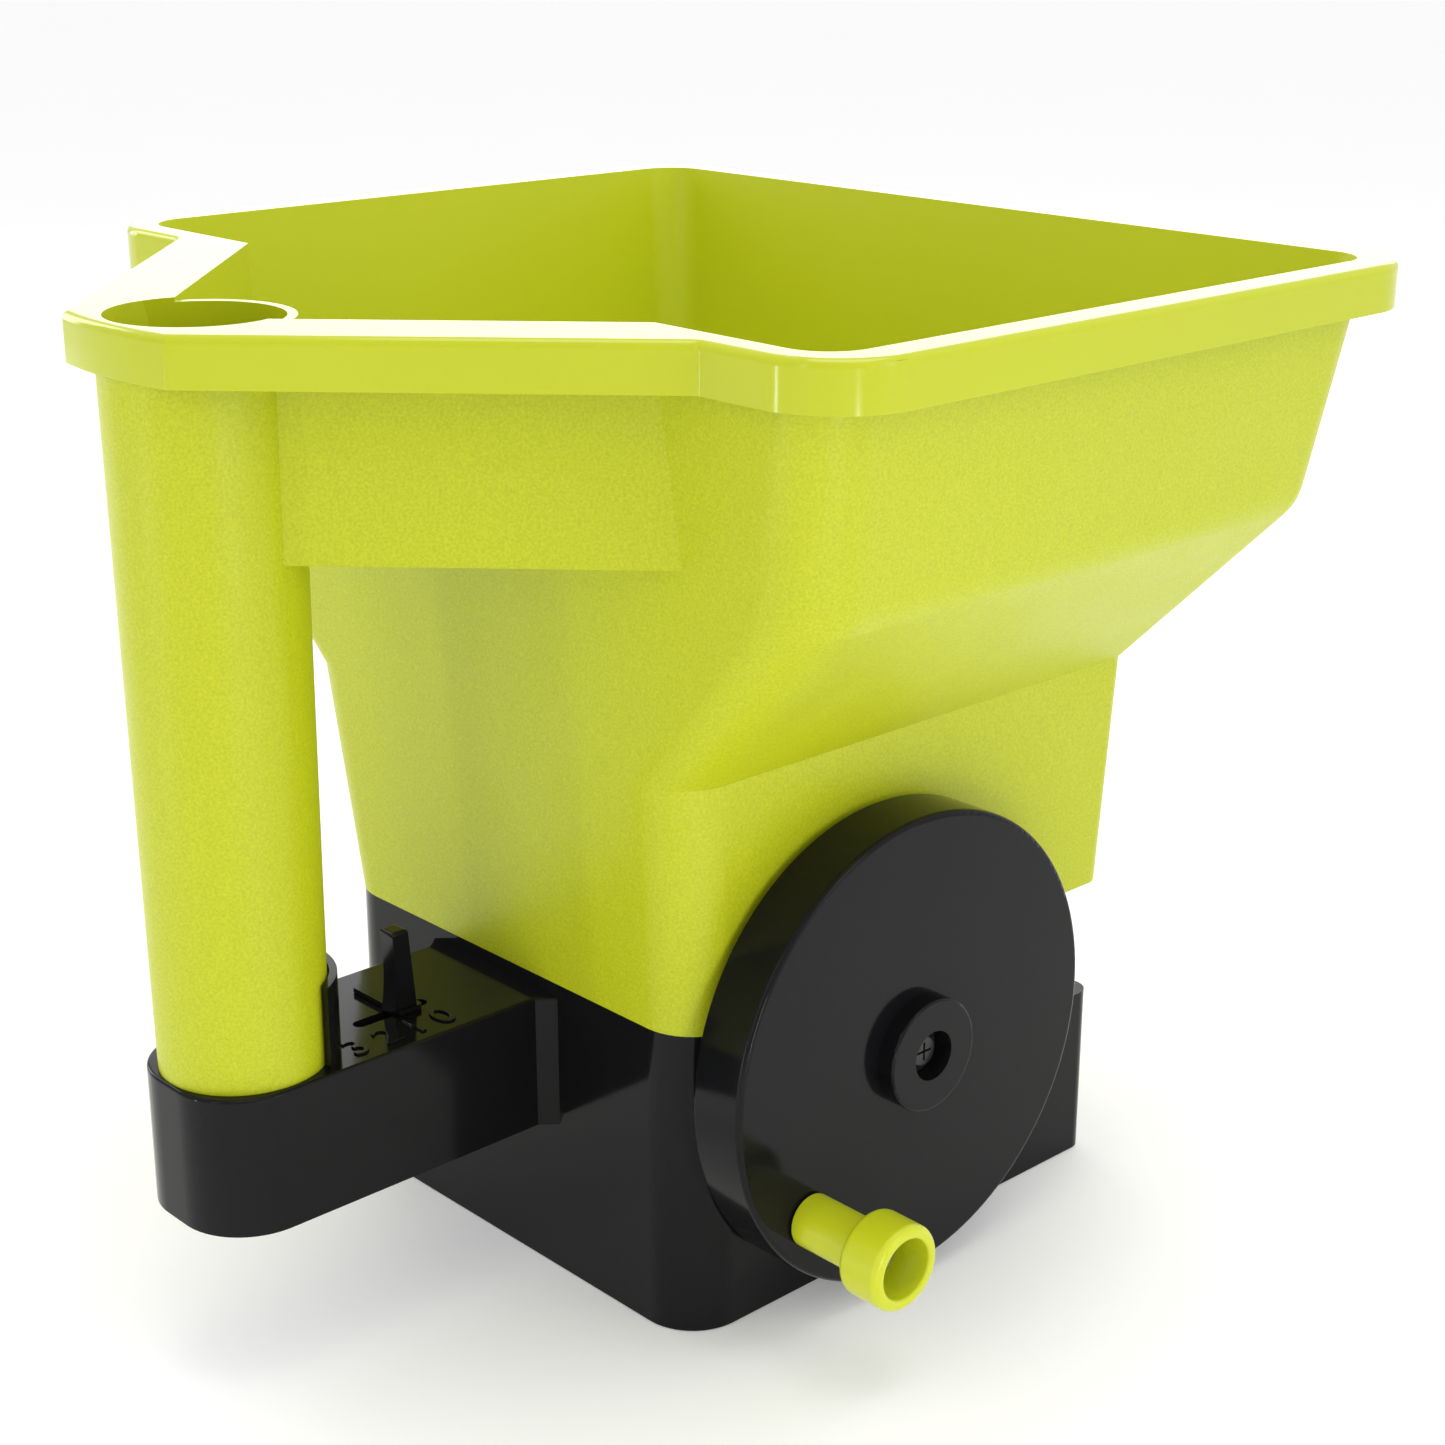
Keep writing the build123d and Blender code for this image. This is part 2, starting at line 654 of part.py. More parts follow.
# ---------------------------------------------------------------- crank wheel and knob

KNOB_Y = CRANK_Y + KNOB_ARM_Y
KNOB_Z = CRANK_Z + KNOB_ARM_Z
RING_BACK = 74.0
RING_FACE = 80.2
RING_OUTER = 51.5
RING_TIP = MODULE * RING_TEETH / 2 - 1.1
HUB_RADIUS = 9.5

with BuildPart() as crank_wheel:
    with BuildSketch(x_plane(WHEEL_BACK, CRANK_Y, CRANK_Z)):
        Circle(WHEEL_RADIUS)
    extrude(amount=WHEEL_FACE - WHEEL_BACK)
    outer_edges = crank_wheel.edges().filter_by(GeomType.CIRCLE).group_by(Axis.X)
    fillet(outer_edges[-1], 1.4)
    fillet(crank_wheel.edges().filter_by(GeomType.CIRCLE).group_by(Axis.X)[0], 0.6)
    with BuildSketch(x_plane(WHEEL_BACK, CRANK_Y, CRANK_Z)):
        Circle(WHEEL_RADIUS - RIM_SKIN)
    extrude(amount=WHEEL_FACE - WHEEL_SKIN - WHEEL_BACK, mode=Mode.SUBTRACT)

    # ring gear moulded on the inside
    with BuildSketch(x_plane(RING_BACK, CRANK_Y, CRANK_Z)):
        Circle(RING_OUTER)
        Circle(RING_TIP, mode=Mode.SUBTRACT)
    extrude(amount=WHEEL_FACE - WHEEL_SKIN - RING_BACK + 0.1)
    ring_plane = x_plane(RING_BACK, CRANK_Y, CRANK_Z)
    extrude(
        gear_sketch(ring_plane, RING_TEETH, addendum=1.9, dedendum=1.1, backlash=-BACKLASH),
        amount=RING_FACE - RING_BACK,
        mode=Mode.SUBTRACT,
    )

    # hub, outer boss and the recess for the axle screw
    with BuildSketch(x_plane(WHEEL_BACK, CRANK_Y, CRANK_Z)):
        Circle(HUB_RADIUS)
    extrude(amount=WHEEL_FACE - WHEEL_BACK - 1)
    with BuildSketch(x_plane(WHEEL_FACE - 1, CRANK_Y, CRANK_Z)):
        Circle(BOSS_RADIUS)
    extrude(amount=BOSS_FACE - WHEEL_FACE + 1)
    boss_rim = crank_wheel.edges().filter_by(GeomType.CIRCLE).group_by(Axis.X)[-1]
    fillet(boss_rim, 0.7)
    with BuildSketch(x_plane(WHEEL_BACK, CRANK_Y, CRANK_Z)):
        Circle(AXLE_RADIUS + RUN)
    extrude(amount=BOSS_FACE - WHEEL_BACK, mode=Mode.SUBTRACT)
    with BuildSketch(x_plane(RECESS_FLOOR, CRANK_Y, CRANK_Z)):
        Circle(RECESS_RADIUS)
    extrude(amount=BOSS_FACE - RECESS_FLOOR, mode=Mode.SUBTRACT)

    # threaded seat for the knob pin
    with BuildSketch(x_plane(RING_FACE + 1.0, KNOB_Y, KNOB_Z)):
        Circle(2.0)
    extrude(amount=WHEEL_FACE - RING_FACE, mode=Mode.SUBTRACT)
finish(crank_wheel.part, "crank_wheel")

STEM_RADIUS = 6.5
HEAD_RADIUS = 10.4
HEAD_START = 106.8
KNOB_START = WHEEL_FACE + 0.4
CUP_RADIUS = 7.3
CUP_FLOOR = 108.5
PIN_RADIUS = 2.5

with BuildPart() as crank_knob:
    with BuildSketch(x_plane(KNOB_START, KNOB_Y, KNOB_Z)):
        Circle(STEM_RADIUS)
    extrude(amount=HEAD_START - KNOB_START + 1)
    with BuildSketch(x_plane(HEAD_START, KNOB_Y, KNOB_Z)):
        Circle(HEAD_RADIUS)
    extrude(amount=KNOB_END - HEAD_START)
    head_rims = crank_knob.edges().filter_by(GeomType.CIRCLE)
    fillet(head_rims.filter_by(lambda edge: edge.radius > HEAD_RADIUS - 0.1), 2.0)
    with BuildSketch(x_plane(CUP_FLOOR, KNOB_Y, KNOB_Z)):
        Circle(CUP_RADIUS)
    extrude(amount=KNOB_END - CUP_FLOOR, mode=Mode.SUBTRACT)
    with BuildSketch(x_plane(KNOB_START, KNOB_Y, KNOB_Z)):
        Circle(PIN_RADIUS + RUN)
    extrude(amount=KNOB_END - KNOB_START, mode=Mode.SUBTRACT)
    cup_rim = crank_knob.edges().filter_by(GeomType.CIRCLE).group_by(Axis.X)[-1]
    fillet(cup_rim.sort_by(SortBy.RADIUS)[0], 0.8)
finish(crank_knob.part, "crank_knob")

with BuildPart() as knob_pin:
    pin_head = CUP_FLOOR + FIT
    add(pan_screw(x_plane(pin_head, KNOB_Y, KNOB_Z), PIN_RADIUS, pin_head - WHEEL_FACE, 5.0, 2.5))
    with BuildSketch(x_plane(RING_FACE + 1.3, KNOB_Y, KNOB_Z)):
        Circle(2.0)
    extrude(amount=WHEEL_FACE - RING_FACE - 1.2)
finish(knob_pin.part, "knob_pin")


# ---------------------------------------------------------------- crank axle and its fastening

AXLE_END = RECESS_FLOOR + FIT
AXLE_START = BASE_RIGHT - BASE_WALL - AXLE_SEAT

with BuildPart() as crank_axle:
    add(ring(x_plane(AXLE_START, CRANK_Y, CRANK_Z), AXLE_RADIUS, 0, AXLE_END - AXLE_START))
    add(ring(x_plane(AXLE_END - 16, CRANK_Y, CRANK_Z), 2.0, 0, 16), mode=Mode.SUBTRACT)
    chamfer(crank_axle.edges().filter_by(GeomType.CIRCLE).group_by(Axis.X)[0], 0.8)
finish(crank_axle.part, "crank_axle")

finish(ring(x_plane(BASE_RIGHT, CRANK_Y, CRANK_Z), 9.0, AXLE_RADIUS, 1.9), "crank_spacer")
finish(ring(x_plane(AXLE_END, CRANK_Y, CRANK_Z), 5.8, 2.3, 0.8), "crank_washer")
finish(pan_screw(x_plane(AXLE_END + 0.8, CRANK_Y, CRANK_Z), 2.0, 15.0, 4.2, 1.8), "crank_screw")


# ---------------------------------------------------------------- cross shaft

SHAFT_START = 9.6
SHAFT_END = 82.4
PINION_BACK = 74.3
PINION_FACE = 79.9
CLIP_WIDTH = 0.8
CLIP_GROOVE = 2.4
BEVEL_BACK = MODULE * BEVEL_TEETH / 2
BEVEL_FRONT = 7.2
BEVEL_BACKLASH = 0.8
INNER_FLANGE_END = BRACKET_X + BRACKET_THICKNESS + 1.2
CLIP_STARTS = [INNER_FLANGE_END + FIT, PINION_FACE + 0.3]


def shaft_plane(x):
    """Plane across the cross shaft."""
    return x_plane(x, CRANK_Y, SHAFT_Z)


def bevel_gear(plane, turn, hub_length):
    """Straight bevel gear with a square shaft angle. The plane is its back face, facing the cone's point."""
    with BuildPart() as gear:
        loft(
            [
                gear_sketch(plane, BEVEL_TEETH, backlash=BEVEL_BACKLASH, turn=turn),
                gear_sketch(
                    plane.offset(BEVEL_BACK - BEVEL_FRONT),
                    BEVEL_TEETH,
                    backlash=BEVEL_BACKLASH,
                    scale=BEVEL_FRONT / BEVEL_BACK,
                    turn=turn,
                ),
            ],
            ruled=True,
        )
        with BuildSketch(plane):
            Circle(7.0)
        extrude(amount=-hub_length)
        with BuildSketch(plane.offset(BEVEL_BACK)):
            Circle(SHAFT_RADIUS)
        extrude(amount=-BEVEL_BACK - hub_length, mode=Mode.SUBTRACT)
    return gear.part


with BuildPart() as cross_shaft:
    add(ring(shaft_plane(SHAFT_START), SHAFT_RADIUS, 0, SHAFT_END - SHAFT_START))
    chamfer(cross_shaft.edges().filter_by(GeomType.CIRCLE), 0.4)
    for start in CLIP_STARTS:
        add(ring(shaft_plane(start), SHAFT_RADIUS + 1, CLIP_GROOVE, CLIP_WIDTH), mode=Mode.SUBTRACT)
finish(cross_shaft.part, "cross_shaft")

with BuildPart() as shaft_clips:
    for start in CLIP_STARTS:
        with BuildSketch(shaft_plane(start)):
            Circle(5.2)
            Circle(CLIP_GROOVE, mode=Mode.SUBTRACT)
            with Locations((5.0, 0)):
                Rectangle(10.0, 3.0, mode=Mode.SUBTRACT)
        extrude(amount=CLIP_WIDTH)
finish(shaft_clips.part, "shaft_clips")

with BuildPart() as drive_pinion:
    extrude(gear_sketch(shaft_plane(PINION_BACK), PINION_TEETH, turn=180 / PINION_TEETH), amount=5.6)
    with BuildSketch(shaft_plane(PINION_BACK)):
        Circle(5.5)
    extrude(amount=-2.0)
    with BuildSketch(shaft_plane(PINION_FACE)):
        Circle(SHAFT_RADIUS)
    extrude(amount=-10.0, mode=Mode.SUBTRACT)
finish(drive_pinion.part, "drive_pinion")

bevel_plane = Plane(
    origin=(SPINDLE_X + BEVEL_BACK, CRANK_Y, SHAFT_Z),
    x_dir=(0, 1, 0),
    z_dir=(-1, 0, 0),
)
finish(bevel_gear(bevel_plane, 0.0, 8.0), "drive_bevel")
finish(bush(shaft_plane(BASE_RIGHT), SHAFT_RADIUS + RUN, BUSH_RADIUS, 8.5, 7.0, 1.2), "outer_bush")
finish(
    bush(
        shaft_plane(BRACKET_X + BRACKET_THICKNESS),
        SHAFT_RADIUS + RUN,
        BUSH_RADIUS,
        BRACKET_THICKNESS,
        7.0,
        1.2,
    ),
    "inner_bush",
)


# ---------------------------------------------------------------- spindle, impeller and agitator

SPINDLE_BOTTOM = COVER_TOP - 0.6
SPINDLE_TOP = 84.0
COVER_BOSS_TOP = COVER_TOP + 6.5
BUSH_FLANGE = 1.0
HUB_BOTTOM = BOSS_TOP + BUSH_FLANGE + FIT


def spindle_plane(z):
    """Level plane centred on the spindle."""
    return Plane(origin=(SPINDLE_X, SPINDLE_Y, z))


with BuildPart() as spindle:
    add(ring(spindle_plane(SPINDLE_BOTTOM), SHAFT_RADIUS, 0, SPINDLE_TOP - SPINDLE_BOTTOM))
    chamfer(spindle.edges().filter_by(GeomType.CIRCLE), 0.4)
    add(ring(spindle_plane(SPINDLE_TOP - 11), 1.5, 0, 11), mode=Mode.SUBTRACT)
finish(spindle.part, "spindle")

finish(bevel_gear(spindle_plane(SHAFT_Z - BEVEL_BACK), 180 / BEVEL_TEETH, 6.0), "spindle_bevel")
finish(
    bush(spindle_plane(COVER_BOSS_TOP), SHAFT_RADIUS + RUN, BUSH_RADIUS, 6.4, 7.0, BUSH_FLANGE),
    "lower_bush",
)
finish(bush(spindle_plane(BOSS_TOP), SHAFT_RADIUS + RUN, BUSH_RADIUS, 5.0, 7.0, BUSH_FLANGE), "upper_bush")
finish(
    bush(spindle_plane(FLOOR_TOP), SHAFT_RADIUS + RUN, BUSH_RADIUS, FLOOR_TOP - SPIGOT_BOTTOM, 7.0, BUSH_FLANGE),
    "floor_bush",
)

# one curved vane, drawn about the spindle
with BuildSketch() as vane:
    with BuildLine():
        outer_arc = CenterArc((11.0, -52.0), 55.9, 49.0, 42.0)
        inner_arc = CenterArc((11.0, -52.0), 54.1, 49.0, 42.0)
        Line(outer_arc @ 0, inner_arc @ 0)
        Line(outer_arc @ 1, inner_arc @ 1)
    make_face()

with BuildPart() as impeller:
    with BuildSketch(spindle_plane(DISC_BOTTOM)):
        Circle(DISC_RADIUS)
    extrude(amount=DISC_TOP - DISC_BOTTOM)
    with BuildSketch(spindle_plane(DISC_TOP)):
        with PolarLocations(0, VANES):
            add(vane.sketch)
    extrude(amount=VANE_TOP - DISC_TOP)
    with BuildSketch(spindle_plane(HUB_BOTTOM)):
        Circle(8.0)
    extrude(amount=VANE_TOP + 1.5 - HUB_BOTTOM)
    with BuildSketch(spindle_plane(HUB_BOTTOM)):
        Circle(SHAFT_RADIUS)
    extrude(amount=20.0, mode=Mode.SUBTRACT)
finish(impeller.part, "impeller")

AGITATOR_BOTTOM = FLOOR_TOP + BUSH_FLANGE + FIT
FINGER_REACH = 33.0
FINGER_TIP = 14.0

with BuildPart() as agitator:
    for side in (1, -1):
        with BuildLine():
            finger = FilletPolyline(
                (SPINDLE_X + side * 3.0, SPINDLE_Y, AGITATOR_BOTTOM + 4.0),
                (SPINDLE_X + side * FINGER_REACH, SPINDLE_Y, AGITATOR_BOTTOM + 4.0),
                (SPINDLE_X + side * (FINGER_REACH + 5.0), SPINDLE_Y, AGITATOR_BOTTOM + 4.0 + FINGER_TIP),
                radius=8.0,
            )
        with BuildSketch(Plane(origin=finger @ 0, z_dir=finger % 0)):
            Circle(2.2)
        sweep(path=finger)
    with BuildSketch(spindle_plane(AGITATOR_BOTTOM)):
        Circle(6.5)
    extrude(amount=SPINDLE_TOP - 0.2 - AGITATOR_BOTTOM)
    with BuildSketch(spindle_plane(AGITATOR_BOTTOM)):
        Circle(SHAFT_RADIUS)
    extrude(amount=20.0, mode=Mode.SUBTRACT)
finish(agitator.part, "agitator")

finish(pan_screw(spindle_plane(SPINDLE_TOP), 1.5, 9.0, 5.0, 2.2), "agitator_screw")


# ---------------------------------------------------------------- gate

GATE_REAR = LEVER_Y - 1.9
LEVER_HALF = 2.5
LEVER_SHOE = 1.2
GUIDE_BOTTOM = GATE_BOTTOM - FIT - 2.0
GUIDE_OUTER = 22.5

with BuildPart() as gate_plate:
    with BuildSketch(Plane.XY.offset(GATE_BOTTOM)):
        with BuildLine():
            FilletPolyline(
                (GATE_HALF, GATE_FRONT),
                (-GATE_HALF, GATE_FRONT),
                (-GATE_HALF, GATE_REAR - 1.2),
                (GATE_HALF, GATE_REAR - 1.2),
                radius=2.0,
                close=True,
            )
        make_face()
        with Locations((LEVER_X, LEVER_Y)):
            SlotOverall(3.6, 3.0, rotation=90, mode=Mode.SUBTRACT)
    extrude(amount=GATE_THICKNESS)
finish(gate_plate.part, "gate_plate")

with BuildPart() as gate_lever:
    # upright finger piece with a hollowed back
    with BuildSketch(Plane(origin=(LEVER_X - LEVER_HALF, 0, 0), x_dir=(0, 1, 0), z_dir=(1, 0, 0))):
        with BuildLine():
            Polyline(
                (LEVER_Y - 2.6, ARM_TOP + FIT),
                (LEVER_Y + 4.0, ARM_TOP + FIT),
                (LEVER_Y + 2.2, LEVER_TOP),
                (LEVER_Y - 2.4, LEVER_TOP),
            )
            ThreePointArc(
                (LEVER_Y - 2.4, LEVER_TOP),
                (LEVER_Y - 1.6, (LEVER_TOP + ARM_TOP) / 2),
                (LEVER_Y - 2.6, ARM_TOP + FIT),
            )
        make_face()
    extrude(amount=2 * LEVER_HALF)
    fillet(gate_lever.faces().sort_by(Axis.Z)[-1].edges(), 0.9)
    with BuildSketch(Plane.XY.offset(ARM_TOP + FIT)):
        with Locations((LEVER_X - 6.0, LEVER_Y + 1.5)):
            RectangleRounded(19.0, 7.0, 1.0)
    extrude(amount=LEVER_SHOE)
    with BuildSketch(Plane.XY.offset(GATE_BOTTOM)):
        with Locations((LEVER_X, LEVER_Y)):
            SlotOverall(3.6, 3.0, rotation=90)
    extrude(amount=ARM_TOP + FIT - GATE_BOTTOM)
finish(gate_lever.part, "gate_lever")


def gate_guide(side):
    """Rail under the hopper floor that carries one edge of the gate."""
    with BuildPart() as rail:
        middle = (GUIDE_SCREW_Y[0] + GUIDE_SCREW_Y[1]) / 2
        length = GUIDE_SCREW_Y[1] - GUIDE_SCREW_Y[0] + 10.0
        inner = GATE_HALF + FIT
        with BuildSketch(Plane.XY.offset(GUIDE_BOTTOM)):
            with Locations((side * (inner + GUIDE_OUTER) / 2, middle)):
                Rectangle(GUIDE_OUTER - inner, length)
        extrude(amount=SPIGOT_BOTTOM - GUIDE_BOTTOM)
        with BuildSketch(Plane.XY.offset(GUIDE_BOTTOM)):
            with Locations((side * (inner - 1.0), middle)):
                Rectangle(4.0, length)
        extrude(amount=2.0)
        with BuildSketch(Plane.XY.offset(GUIDE_BOTTOM)):
            with Locations([(side * GUIDE_SCREW_X, y) for y in GUIDE_SCREW_Y]):
                Circle(GUIDE_SCREW_RADIUS + 0.2)
        extrude(amount=10.0, mode=Mode.SUBTRACT)
    return rail.part


finish(gate_guide(-1), "gate_guide_left")
finish(gate_guide(1), "gate_guide_right")


# ---------------------------------------------------------------- fasteners in groups


def down_plane(x, y, z):
    """Level plane whose normal points down, for screws put in from below."""
    return Plane(origin=(x, y, z), x_dir=(1, 0, 0), z_dir=(0, 0, -1))


with BuildPart() as guide_screws:
    for side in (-1, 1):
        for y in GUIDE_SCREW_Y:
            add(pan_screw(down_plane(side * GUIDE_SCREW_X, y, GUIDE_BOTTOM), GUIDE_SCREW_RADIUS, 6.3, 2.6, 1.7))
finish(guide_screws.part, "guide_screws")

with BuildPart() as hopper_screws:
    for x, y in HOPPER_SCREWS:
        add(pan_screw(down_plane(x, y, LUG_BOTTOM), HOPPER_SCREW_RADIUS, 12.0, 3.6, 2.2))
finish(hopper_screws.part, "hopper_screws")

with BuildPart() as cover_screws:
    for x, y in CORNER_POSTS:
        add(pan_screw(down_plane(x, y, COVER_BOTTOM + 1.5), 1.6, 12.0, 3.8, 1.4))
finish(cover_screws.part, "cover_screws")

WASHER = 0.8
finish(ring(Plane(origin=(0, TUBE_Y, HANDLE_SEAT - WASHER)), 5.6, 2.3, WASHER), "handle_washer")
finish(pan_screw(down_plane(0, TUBE_Y, HANDLE_SEAT - WASHER), 2.0, 18.0, 4.2, 2.4), "handle_screw")
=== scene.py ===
"""Looks of the hand-held garden spreader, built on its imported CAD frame."""

import json
import math

import bmesh
import bpy
from mathutils import Matrix, Vector

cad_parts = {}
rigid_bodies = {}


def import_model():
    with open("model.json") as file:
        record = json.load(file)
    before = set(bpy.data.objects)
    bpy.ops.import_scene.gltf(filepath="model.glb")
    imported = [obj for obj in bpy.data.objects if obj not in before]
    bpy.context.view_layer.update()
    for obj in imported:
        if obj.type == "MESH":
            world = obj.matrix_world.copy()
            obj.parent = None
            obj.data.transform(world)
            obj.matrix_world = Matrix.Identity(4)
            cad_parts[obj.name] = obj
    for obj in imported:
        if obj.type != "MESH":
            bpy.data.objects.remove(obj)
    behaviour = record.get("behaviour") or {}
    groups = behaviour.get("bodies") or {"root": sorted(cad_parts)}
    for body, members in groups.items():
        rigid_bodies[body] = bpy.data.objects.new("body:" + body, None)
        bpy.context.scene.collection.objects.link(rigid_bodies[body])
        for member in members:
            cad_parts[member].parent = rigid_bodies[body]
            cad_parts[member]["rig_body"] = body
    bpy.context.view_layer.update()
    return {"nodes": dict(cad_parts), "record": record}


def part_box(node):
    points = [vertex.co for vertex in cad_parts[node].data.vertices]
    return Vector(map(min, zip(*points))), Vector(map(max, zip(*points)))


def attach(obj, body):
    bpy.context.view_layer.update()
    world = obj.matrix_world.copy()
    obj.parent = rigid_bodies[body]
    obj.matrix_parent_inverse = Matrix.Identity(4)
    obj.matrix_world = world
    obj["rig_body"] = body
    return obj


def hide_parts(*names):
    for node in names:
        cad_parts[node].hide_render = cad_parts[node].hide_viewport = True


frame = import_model()
nodes = frame["nodes"]
SLOTS = {entry["node"]: entry["material_slot"] for entry in frame["record"]["subparts"]}
MM = 0.001


# ---------------------------------------------------------------- materials

def new_material(name):
    """Material with an empty node tree: its principled shader, nodes and links."""
    material = bpy.data.materials.new(name)
    material.use_nodes = True
    tree = material.node_tree
    tree.nodes.clear()
    output = tree.nodes.new("ShaderNodeOutputMaterial")
    shader = tree.nodes.new("ShaderNodeBsdfPrincipled")
    tree.links.new(shader.outputs["BSDF"], output.inputs["Surface"])
    return material, shader, tree


def texture(tree, kind, **values):
    """Procedural texture node fed with object coordinates."""
    coords = tree.nodes.new("ShaderNodeTexCoord")
    node = tree.nodes.new(kind)
    tree.links.new(coords.outputs["Object"], node.inputs["Vector"])
    for key, value in values.items():
        node.inputs[key].default_value = value
    return node


def remap(tree, source, low, high, out_low, out_high):
    """Linear change of range of a value."""
    node = tree.nodes.new("ShaderNodeMapRange")
    node.inputs["From Min"].default_value = low
    node.inputs["From Max"].default_value = high
    node.inputs["To Min"].default_value = out_low
    node.inputs["To Max"].default_value = out_high
    tree.links.new(source, node.inputs["Value"])
    return node.outputs["Result"]


def mix_colors(tree, factor, first, second):
    """Blend of two colours by a factor socket."""
    node = tree.nodes.new("ShaderNodeMix")
    node.data_type = "RGBA"
    node.inputs[6].default_value = (*first, 1)
    node.inputs[7].default_value = (*second, 1)
    tree.links.new(factor, node.inputs[0])
    return node.outputs[2]


def add_bump(tree, shader, height, strength, distance):
    """Surface relief from a height socket. The distance is in millimetres."""
    bump = tree.nodes.new("ShaderNodeBump")
    bump.inputs["Strength"].default_value = strength
    bump.inputs["Distance"].default_value = distance * MM
    tree.links.new(height, bump.inputs["Height"])
    tree.links.new(bump.outputs["Normal"], shader.inputs["Normal"])


def plastic(name, color, shade, roughness, spread, grain, grain_size, ior=1.45, speckled=False):
    """Moulded plastic: slight colour drift or speckle, uneven gloss and fine grain."""
    material, shader, tree = new_material(name)
    fine = texture(tree, "ShaderNodeTexNoise", Scale=1.0 / (grain_size * MM), Detail=3.0, Roughness=0.6)
    drift = texture(tree, "ShaderNodeTexNoise", Scale=14.0, Detail=4.0)
    tone = remap(tree, (fine if speckled else drift).outputs["Fac"], 0.3, 0.7, 0.0, 1.0)
    tree.links.new(mix_colors(tree, tone, color, shade), shader.inputs["Base Color"])
    gloss = texture(tree, "ShaderNodeTexNoise", Scale=60.0, Detail=6.0)
    tree.links.new(
        remap(tree, gloss.outputs["Fac"], 0.25, 0.75, roughness - spread, roughness + spread),
        shader.inputs["Roughness"],
    )
    shader.inputs["IOR"].default_value = ior
    add_bump(tree, shader, fine.outputs["Fac"], grain, 0.05)
    return material


def steel(name):
    """Zinc-plated steel with fine turning marks."""
    material, shader, tree = new_material(name)
    noise = texture(tree, "ShaderNodeTexNoise", Scale=350.0, Detail=5.0)
    tone = remap(tree, noise.outputs["Fac"], 0.3, 0.7, 0.0, 1.0)
    tree.links.new(
        mix_colors(tree, tone, (0.42, 0.43, 0.44), (0.58, 0.58, 0.57)),
        shader.inputs["Base Color"],
    )
    tree.links.new(
        remap(tree, noise.outputs["Fac"], 0.3, 0.7, 0.22, 0.38),
        shader.inputs["Roughness"],
    )
    shader.inputs["Metallic"].default_value = 1.0
    add_bump(tree, shader, noise.outputs["Fac"], 0.15, 0.03)
    return material


LIME = (0.505, 0.555, 0.012)
LIME_SHADE = (0.49, 0.54, 0.010)
lime_grained = plastic(
    "lime_grained", (0.55, 0.60, 0.015), (0.43, 0.475, 0.007), 0.40, 0.05, 0.80, 0.6, 1.38, True
)
lime_inner = plastic(
    "lime_inner", (0.56, 0.61, 0.014), (0.545, 0.595, 0.012), 0.40, 0.04, 0.15, 0.6, 1.34
)
lime_knob = plastic("lime_knob", (0.60, 0.65, 0.018), (0.58, 0.63, 0.016), 0.24, 0.03, 0.10, 0.6)
lime_smooth = plastic("lime_smooth", LIME, LIME_SHADE, 0.14, 0.02, 0.10, 0.6)
black_gloss = plastic(
    "black_gloss", (0.0060, 0.0062, 0.0072), (0.0072, 0.0072, 0.0082), 0.12, 0.03, 0.05, 0.8, 1.24
)
off_white = plastic("off_white", (0.70, 0.69, 0.64), (0.66, 0.65, 0.60), 0.42, 0.05, 0.15, 0.5)
plated_steel = steel("plated_steel")
black_steel = plastic("black_steel", (0.012, 0.012, 0.013), (0.02, 0.02, 0.02), 0.3, 0.06, 0.3, 0.4)

FINISHES = {
    "lime_plastic": lime_grained,
    "black_plastic": black_gloss,
    "steel": plated_steel,
    "gear_plastic": off_white,
    "black_steel": black_steel,
}
for node_name, slot in SLOTS.items():
    data = nodes[node_name].data
    data.materials.clear()
    data.materials.append(FINISHES[slot])


# ---------------------------------------------------------------- moulded pieces

MERGE_DISTANCE = 0.002  # all lengths here are in mm
FLAT_ANGLE = 0.4  # facets closer than this to one plane, in degrees, become one face
SEAM_DEPTH = 0.7
ARM_SEAM_Y = -43.5  # the arm meets the base housing in this plane
LIP_DEPTH = 10.8
HOPPER_MIDDLE_Y = 30.0
RIM_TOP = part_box("hopper")[1].z / MM


